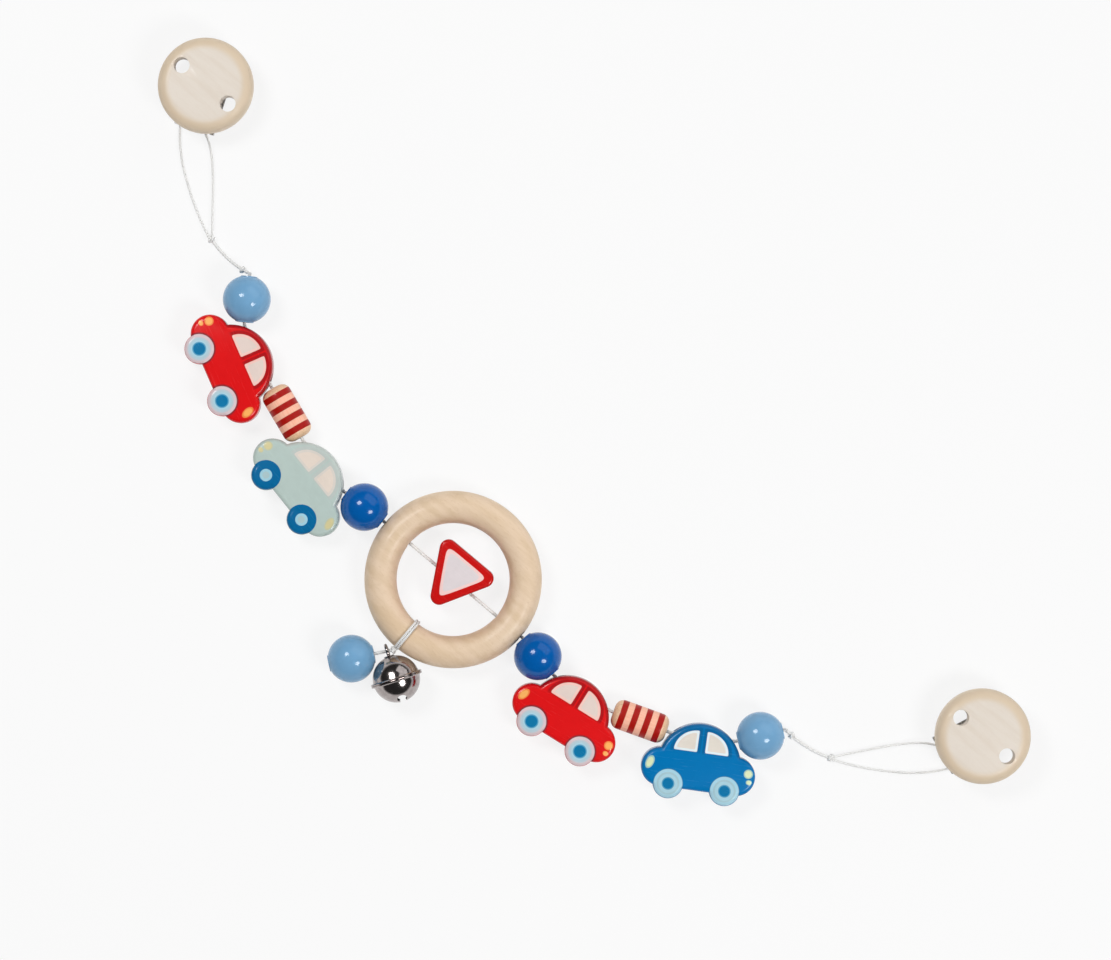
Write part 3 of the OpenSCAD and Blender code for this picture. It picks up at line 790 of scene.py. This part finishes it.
def striped_wood():
    """Lacquered wood with painted rings between the roller's bare ends."""
    material, tree, shader = new_finish("striped_roller", 0.4, coat=0.1, specular=0.2)
    place, x = local_measure(tree)[:2]
    from_middle = calc(tree, "ABSOLUTE", x)
    fibres = grain(tree, place, (0.2, 2.4, 2.4))
    streaks = between(tree, fibres, 0.35, 0.75)
    wood = over(tree, colour("#FEC4AA"), colour("#F6B294"), streaks)
    wood_end = over(tree, colour("#F0CBA8"), colour("#E0B48C"), streaks)
    wood = over(tree, wood, wood_end, between(tree, from_middle, 6.9, 7.3))
    phase = calc(tree, "MODULO", calc(tree, "ADD", x, 3 * stripe_pitch), stripe_pitch)
    wave = calc(tree, "ABSOLUTE", calc(tree, "SUBTRACT", phase, stripe_pitch / 2))
    stripe = calc(tree, "MULTIPLY", between(tree, wave, 0.92, 1.06, 1.0, 0.0),
                  between(tree, from_middle, 7.2, 7.4, 1.0, 0.0))
    shade = over(tree, wood, colour("#A9120A"), stripe)
    height = calc(tree, "MULTIPLY_ADD", fibres, 0.4, calc(tree, "MULTIPLY", stripe, 0.5))
    gloss = between(tree, fibres, 0.2, 0.8, 0.34, 0.48)
    surface(tree, shader, shade, height, wood_bump, bump_depth, gloss)
    return material


roller_finish = striped_wood()
print("roller finish", roller_finish.name)

# %% Strung beads, rollers and the pendant's bead
for side in SIDES:
    for piece, finish, slot in (("dark_bead", dark_blue, "dark_blue_paint"),
                                ("light_bead", light_blue, "light_blue_paint"),
                                ("roller", roller_finish, "roller_wood")):
        node = f"{side}_{piece}"
        made = copy_of(roller_pattern if piece == "roller" else bead_pattern, node + "_turned")
        put_in_place(made, strung_place(node + "_spin"))
        dress(made, finish, node, slot, node)
made = copy_of(bead_pattern, "pendant_bead_turned")
put_in_place(made, strung_place("pendant_bead_spin"))
dress(made, light_blue, "pendant_bead", "light_blue_paint", "pendant_bead")
for pattern in (bead_pattern, roller_pattern):
    bpy.data.objects.remove(pattern)
print("turned pieces placed")

# %% [markdown]
# ## Cars
# The cars are sawn from a ten millimetre board, their edges are rounded over and a bore goes through
# the cabin for the cord. The outline is drawn as arcs that meet, filled, pulled up to the board's
# thickness, and its rims are bevelled.

# %% Sawing a piece from a board
def sawn(name, outline, thickness, edge):
    """A board cut along an outline in mm, with rounded edges. It lies on XY."""
    mesh = bpy.data.meshes.new(name)
    count = len(outline)
    edges = [(i, (i + 1) % count) for i in range(count)]
    mesh.from_pydata([(x * MM, y * MM, 0) for x, y in outline], edges, [])
    piece = bpy.data.objects.new(name, mesh)
    bpy.context.collection.objects.link(piece)
    only(piece)
    bpy.ops.object.mode_set(mode="EDIT")
    bpy.ops.mesh.select_all(action="SELECT")
    bpy.ops.mesh.edge_face_add()
    bpy.ops.mesh.extrude_region_move(TRANSFORM_OT_translate={"value": (0, 0, thickness * MM)})
    bpy.ops.mesh.select_all(action="SELECT")
    bpy.ops.mesh.normals_make_consistent(inside=False)
    bpy.ops.mesh.select_mode(type="EDGE")
    bpy.ops.mesh.select_all(action="DESELECT")
    bpy.ops.object.mode_set(mode="OBJECT")
    for rim in mesh.edges:
        a, b = (mesh.vertices[i].co.z for i in rim.vertices)
        rim.select = abs(a - b) < 1e-6
    bpy.ops.object.mode_set(mode="EDIT")
    bpy.ops.mesh.bevel(offset=edge * MM, segments=5, profile=0.5, affect="EDGES", clamp_overlap=False)
    bpy.ops.object.mode_set(mode="OBJECT")
    return piece


def meeting(a, b):
    """The two points where circles (x, y, r) meet."""
    (ax, ay, ar), (bx, by, br) = a, b
    dx, dy = bx - ax, by - ay
    d = math.hypot(dx, dy)
    along = (ar ** 2 - br ** 2 + d ** 2) / (2 * d)
    off = math.sqrt(ar ** 2 - along ** 2)
    mid = (ax + along * dx / d, ay + along * dy / d)
    return [(mid[0] + s * off * dy / d, mid[1] - s * off * dx / d) for s in (1, -1)]


def angle_on(circle, point):
    """The angle in degrees at which a point lies on a circle (x, y, r)."""
    return math.degrees(math.atan2(point[1] - circle[1], point[0] - circle[0])) % 360


car_t, car_edge, bore_v = 10.0, 1.5, 15.8
wheel, nose, cabin = (8.95, 0.0, 4.8), (12.0, 4.9, 6.1), (0.0, 6.8, 13.2)
floor_v = -1.2
sill = (wheel[0] - math.sqrt(wheel[2] ** 2 - floor_v ** 2), floor_v)
under_nose = min(meeting(wheel, nose), key=lambda p: p[1])
bonnet = max(meeting(nose, cabin), key=lambda p: p[1])
half = (arc(*wheel, angle_on(wheel, sill), angle_on(wheel, under_nose), 6)
        + arc(*nose, angle_on(nose, under_nose) - 360, angle_on(nose, bonnet), 5)
        + arc(*cabin, angle_on(cabin, bonnet), 90, 3))
car_outline = half + [(0, cabin[1] + cabin[2])] + [(-u, v) for u, v in reversed(half)]
car_pattern = sawn("car_pattern", car_outline, car_t, car_edge)
drill(car_pattern, bore_r, length=60, at=(0, bore_v, car_t / 2))
keep_local(car_pattern)
smooth(car_pattern, 30)
print("car faces", len(car_pattern.data.polygons))

# %% [markdown]
# ### The cars' print
# Windows, lamps and wheels are printed; the dark outer rings of the wheels are partly painted shade of
# their rounded edges, and a darker band along the roof's rounded edge is painted shade. Each of them is
# a
# shape that a distance describes: a wheel is all that lies within a radius, a lamp all within an oval,
# and a window all that lies above the sill, beside the pillar and under a bow at once. So the print
# needs no picture and stays sharp.

# %% Circles, ovals and faces
print_soft = 0.07


def disc(tree, flat, centre, radius):
    """1 inside a circle on the face."""
    reach = vector(tree, "DISTANCE", flat, (*centre, 0))
    return between(tree, reach, radius - print_soft, radius + print_soft, 1.0, 0.0)


def oval(tree, flat, centre, size, lean, soft=0.05):
    """1 inside a leaning ellipse on the face."""
    moved = vector(tree, "SUBTRACT", flat, (*centre, 0))
    upright = put(tree, "ShaderNodeVectorRotate", {"Vector": moved, "Angle": -math.radians(lean)},
                  rotation_type="Z_AXIS").outputs[0]
    reach = vector(tree, "LENGTH", vector(tree, "MULTIPLY", upright, (1 / size[0], 1 / size[1], 0)))
    return between(tree, reach, 1 - soft, 1 + soft, 1.0, 0.0)


def faces_only(tree, z, thickness, fade_start, fade_end):
    """1 on a board's two faces, and 0 from a depth below them on."""
    from_middle = calc(tree, "ABSOLUTE", calc(tree, "SUBTRACT", z, thickness / 2))
    return between(tree, from_middle, thickness / 2 - fade_start, thickness / 2 - fade_end)


print("print helpers ready")

# %% The three prints
sill_v, pillar_u = 11.0, 1.25
bow_w, bow_h, bow_depth = 7.4, 6.8, 6.6
corner_soft = 0.7
LAMPS = [((15.7, 6.3), (1.45, 1.45), 0), ((16.2, 3.7), (0.95, 0.8), 0),
         ((-15.5, 6.0), (1.25, 2.15), -19)]
lamp_core, core_soft = 0.74, 0.12


def car_finish(name, body, pane_band_and_roof_shade, pane, rim, lamp, lamp_rim, wheel_rings):
    """Lacquer with printed windows, lamps and wheels on both faces, a darker band round the panes,
    painted shade along the roof's rounded edge, and dark wheel rings that are partly painted shade.
    """
    material, tree, shader = new_finish(name, 0.3, coat=0.1, specular=0.2)
    place, u, v, z = local_measure(tree)
    flat = put(tree, "ShaderNodeCombineXYZ", {0: u, 1: v}).outputs[0]
    on_face = faces_only(tree, z, car_t, 1.0, 0.75)

    def laid_on_faces(below, shade, mask):
        """A colour laid on the faces where the mask is 1: print, and partly painted shade in the
        wheels' outer rings.
        """
        return over(tree, below, colour(shade), calc(tree, "MULTIPLY", mask, on_face))

    sill_d = calc(tree, "SUBTRACT", v, sill_v)
    pillar_d = calc(tree, "SUBTRACT", calc(tree, "ABSOLUTE", u), pillar_u)
    bow = put(tree, "ShaderNodeCombineXYZ", {0: pillar_d, 1: sill_d}).outputs[0]
    bow = vector(tree, "LENGTH", vector(tree, "MULTIPLY", bow, (1 / bow_w, 1 / bow_h, 0)))
    bow_d = calc(tree, "MULTIPLY", calc(tree, "SUBTRACT", 1.0, bow), bow_depth)
    inside = calc(tree, "SMOOTH_MIN", sill_d, pillar_d, corner_soft)
    inside = calc(tree, "SMOOTH_MIN", inside, bow_d, corner_soft)
    roof_d = calc(tree, "SUBTRACT", cabin[2], vector(tree, "DISTANCE", flat, (cabin[0], cabin[1], 0)))
    round_panes = between(tree, inside, -1.25, -0.75)
    # Painted shade: a darker band along the roof's rounded edge, in the same colour as the band round
    # the panes.
    roof_edge_shade = between(tree, roof_d, 0.6, 1.3, 1.0, 0.0)
    band_and_shade_mask = calc(tree, "MAXIMUM", round_panes, roof_edge_shade)
    band_and_shade_mask = calc(tree, "MULTIPLY", band_and_shade_mask, between(tree, v, 10.2, 11.4))
    paint = over(tree, colour(body), colour(pane_band_and_roof_shade), band_and_shade_mask)
    paint = laid_on_faces(paint, rim, between(tree, inside, -0.06, 0.08))
    paint = laid_on_faces(paint, pane, between(tree, inside, 0.62, 0.86))
    for at in (-wheel[0], wheel[0]):
        for radius, shade in wheel_rings:
            paint = laid_on_faces(paint, shade, disc(tree, flat, (at, 0.0), radius))
    for centre, size, lean in LAMPS:
        core = [lamp_core * half for half in size]
        paint = laid_on_faces(paint, lamp_rim, oval(tree, flat, centre, size, lean))
        paint = laid_on_faces(paint, lamp, oval(tree, flat, centre, core, lean, core_soft))
    lacquer(tree, shader, place, paint)
    return material


# The outermost dark rings of the red and blue wheels are partly a printed outline and partly painted
# shade of the wheel's rounded edge; the other rings are print.
RED_WHEEL = [(5.3, "#B5232A"), (5.0, "#862A32"), (4.66, "#E0C9CD"), (3.8, "#C9CBD2"), (3.4, "#B7CFDA"),
             (2.7, "#AED6E5"), (2.2, "#58A4C6"), (1.85, "#0E78AA")]
BLUE_WHEEL = [(4.8, "#2A7CA8"), (4.55, "#ABD5E5"), (3.6, "#A6C9D3"), (3.0, "#ADD3E0"), (2.0, "#4F9FC2"),
              (1.65, "#0E76AB")]
PALE_WHEEL = [(4.75, "#07699E"), (1.95, "#A2D2E2"), (1.15, "#AFCBD0")]
# Each car's second colour is the band round its panes and also the painted shade along its roof edge.
red_car = car_finish("red_car", body="#E11518", pane_band_and_roof_shade="#B0151A", pane="#E7D4CB", rim="#F8CDC2",
                     lamp="#FFB764", lamp_rim="#F58A48", wheel_rings=RED_WHEEL)
blue_car = car_finish("blue_car", body="#0075B6", pane_band_and_roof_shade="#0A659C", pane="#E4DCD1", rim="#E6F0F4",
                      lamp="#E0EAC0", lamp_rim="#A8CFC0", wheel_rings=BLUE_WHEEL)
pale_car = car_finish("pale_car", body="#B9CAC4", pane_band_and_roof_shade="#BFC8C3", pane="#E6D8CB", rim="#DCD4CB",
                      lamp="#D8CE9C", lamp_rim="#CCCBA6", wheel_rings=PALE_WHEEL)
print("car finishes", red_car.name, blue_car.name, pale_car.name)

# %% The four cars
CARS = [("left_inner_car", pale_car, "pale_paint"), ("left_outer_car", red_car, "red_paint"),
        ("right_inner_car", red_car, "red_paint"), ("right_outer_car", blue_car, "blue_paint")]
bore_to_axis = Matrix.Translation((0, -bore_v * MM, 0))
for node, finish, slot in CARS:
    made = copy_of(car_pattern, node + "_sawn")
    put_in_place(made, strung_place(node + "_spin", lift=0.0) @ bore_to_axis)
    dress(made, finish, node, slot, node)
bpy.data.objects.remove(car_pattern)
print("cars placed")

# %% [markdown]
# ## The triangle sign
# A rounded triangle hangs inside the ring. It is sawn like the cars, and its pale middle is printed
# inside a red border.

# %% Sign
sign_w, sign_h, sign_t, corner_r, sign_edge = 20.5, 19.0, 8.0, 2.8, 1.0
sign_bore_r = 1.1
half_w, half_h = sign_w / 2 - corner_r, sign_h / 2 - corner_r
side_lean = math.degrees(math.atan2(2 * half_h, half_w))
left_end, foot_end = 270 - side_lean, 270 + side_lean


def on_corner(x, y, degrees):
    """A point on a corner's arc about (x, y)."""
    turn = math.radians(degrees)
    return (x + corner_r * math.cos(turn), y + corner_r * math.sin(turn))


sign_outline = (arc(half_w, half_h, corner_r, side_lean - 90, 90, 10)
                + [(half_w, half_h + corner_r)]
                + arc(-half_w, half_h, corner_r, 90, left_end, 10)
                + [on_corner(-half_w, half_h, left_end)]
                + arc(0, -half_h, corner_r, left_end, foot_end, 8)
                + [on_corner(0, -half_h, foot_end)])
side_way = (math.sin(math.radians(side_lean)), -math.cos(math.radians(side_lean)))
pane_round, pane_soft = 0.9, 4.0


def sign_finish():
    """Red lacquer with a pale printed middle, on both faces."""
    material, tree, shader = new_finish("sign_lacquer", 0.3, coat=0.1, specular=0.2)
    place, x, y, z = local_measure(tree)
    on_face = faces_only(tree, z, sign_t, 0.5, 0.3)
    top_d = calc(tree, "SUBTRACT", half_h, y)
    width = calc(tree, "SQRT", calc(tree, "ADD", calc(tree, "MULTIPLY", x, x), pane_round ** 2))
    slope = calc(tree, "ADD", calc(tree, "MULTIPLY", width, side_way[0]),
                 calc(tree, "MULTIPLY", calc(tree, "ADD", y, half_h), side_way[1]))
    side_d = calc(tree, "MULTIPLY", slope, -1.0)
    inside = calc(tree, "SMOOTH_MIN", top_d, side_d, pane_soft)
    rim = calc(tree, "MULTIPLY", on_face, between(tree, inside, -0.60, -0.45))
    middle = calc(tree, "MULTIPLY", on_face, between(tree, inside, 0.10, 0.45))
    paint = over(tree, colour("#CA1412"), colour("#F8D3CE"), rim)
    paint = over(tree, paint, colour("#E2D8DA"), middle)
    lacquer(tree, shader, place, paint)
    return material


sign = sawn("triangle_sign", sign_outline, sign_t, sign_edge)
drill(sign, sign_bore_r, length=40, at=(0, 0, sign_t / 2))
keep_local(sign)
smooth(sign, 30)
put_in_place(sign, Matrix.Translation((ring_centre.x, ring_centre.y, (cord_z - sign_t / 2) * MM)))
dress(sign, sign_finish(), "sign", "red_paint", "sign")
print("sign faces", len(sign.data.polygons))

# %% [markdown]
# ## Clips
# Each clip shows a turned wooden disc, flat in front with a rounded edge and two holes right through
# it. The disc is turned about its own axis, drilled, and its rims are softened. The steel parts behind
# it are the CAD's own solids, which already have the right shape, and get brushed steel.

# %% Clip discs
disc_r, disc_t, disc_round, back_round = 15.0, 8.0, 3.6, 0.6
vent_r, vent_reach, disc_rim = 2.5, 9.4, 0.35
front_edge = arc(disc_t - disc_round, disc_r - disc_round, disc_round, 0, 90, 6)[1:]
disc_outline = ([(0, 0), (0, disc_r - back_round)]
                + arc(back_round, disc_r - back_round, back_round, 180, 90, 18)[1:]
                + [(back_round, disc_r)] + front_edge[::-1]
                + [(disc_t, disc_r - disc_round), (disc_t, 0)])
disc_pattern = turned("disc_pattern", disc_outline, closed=False)
disc_pattern.data.transform(Matrix.Rotation(-math.pi / 2, 4, "Y"))
for x in (-vent_reach, vent_reach):
    drill(disc_pattern, vent_r, length=40, at=(x, 0, disc_t / 2), along="Z")
soften(disc_pattern, disc_rim)
keep_local(disc_pattern)
smooth(disc_pattern, 30)
for side in SIDES:
    node = f"{side}_clip_disc"
    low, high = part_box(node)
    made = copy_of(disc_pattern, node + "_turned")
    put_in_place(made, Matrix.Translation(((low.x + high.x) / 2, (low.y + high.y) / 2, low.z)))
    dress(made, disc_wood, f"{side}_clip_front", "clip_wood", node)
    for part in ("lever", "screws", "base", "pin"):
        nodes[f"{side}_clip_{part}"].material_slots[0].material = plated_steel
    nodes[f"{side}_clip_jaw_pad"].material_slots[0].material = matt_pad
bpy.data.objects.remove(disc_pattern)
print("clips dressed")

# %% [markdown]
# ## The bell
# A small jingle bell hangs on the pendant: two thin pressed shells, crimped together at a flange, with
# a wire eye on top and a sound slot below. The shells are spun from their outlines, with the wall's
# thickness drawn in, and the slot is cut through.

# %% Bell shells and eye
bell_r, bell_wall, flange_r, flange_t = 7.5, 0.5, 8.4, 0.6
slot_w, slot_end_r = 2, 1.6
bell_turn = math.radians(-32)
eye_way = Vector((-math.cos(bell_turn), -math.sin(bell_turn), 0))
across = Vector((0, 0, 1)).cross(eye_way)
bell_at = Vector((6.386 * MM, (-35.388 + row_y) * MM, 8.4 * MM))
bell_place = Matrix(((eye_way.x, across.x, 0, bell_at.x),
                     (eye_way.y, across.y, 0, bell_at.y),
                     (0, 0, 1, bell_at.z),
                     (0, 0, 0, 1)))
inner_r = bell_r - bell_wall
flange_foot = math.degrees(math.asin((flange_t + 0.15) / bell_r))
flange_outline = [(flange_t + 0.12, bell_r + 0.08), (flange_t, bell_r + 0.25),
                  (flange_t, flange_r - 0.2), (flange_t - 0.18, flange_r - 0.04),
                  (0.12, flange_r - 0.04), (0, flange_r - 0.2)]
shell_outline = ([(bell_r, 0)] + arc(0, 0, bell_r, 3, 90 - flange_foot, 4) + flange_outline
                 + [(0, inner_r)] + arc(0, 0, inner_r, 87, 3, 4) + [(inner_r, 0)])
upper = turned("bell_upper_turned", shell_outline, closed=False)
lower = turned("bell_lower_turned", [(-x, r) for x, r in shell_outline], closed=False)
bpy.ops.object.select_all(action="DESELECT")
bpy.ops.mesh.primitive_cube_add(size=1, location=(-bell_r * MM, 0, 0))
slot_cutter = bpy.context.object
slot_cutter.data.transform(Matrix.Diagonal((bell_r * MM, slot_w * MM, bell_r * MM, 1)))
apply_modifier(lower, "BOOLEAN", object=slot_cutter, operation="DIFFERENCE", solver="EXACT")
bpy.data.objects.remove(slot_cutter)
for z in (-bell_r / 2, bell_r / 2):
    drill(lower, slot_end_r, length=bell_r, at=(-bell_r, 0, z), along="X", sides=32)
eye_reach, eye_r, wire_r = bell_r + 1.7, 1.9, 0.5
bpy.ops.object.select_all(action="DESELECT")
bpy.ops.mesh.primitive_torus_add(major_segments=64, minor_segments=24,
                                 major_radius=eye_r * MM, minor_radius=wire_r * MM,
                                 location=(eye_reach * MM, 0, 0), rotation=(math.pi / 2, 0, 0))
eye = bpy.context.object
eye.data.transform(eye.matrix_world)
eye.matrix_world = Matrix.Identity(4)
washer_outline = [(bell_r - 0.1, 0), (bell_r - 0.1, 1.7), (bell_r + 0.1, 1.6), (bell_r + 0.22, 1.2),
                  (bell_r + 0.22, 0)]
washer = turned("washer", washer_outline, closed=False, steps=48)
eye = joined("bell_eye_wire", [eye, washer])
for piece, node in ((upper, "bell_upper_shell"), (lower, "bell_lower_shell"), (eye, "bell_eye")):
    keep_local(piece)
    smooth(piece, 35)
    put_in_place(piece, bell_place)
    dress(piece, nickel, "bell", "nickel", node)
nodes["bell_pellet"].material_slots[0].material = plated_steel
print("bell placed at", tuple(round(c, 4) for c in bell_at))
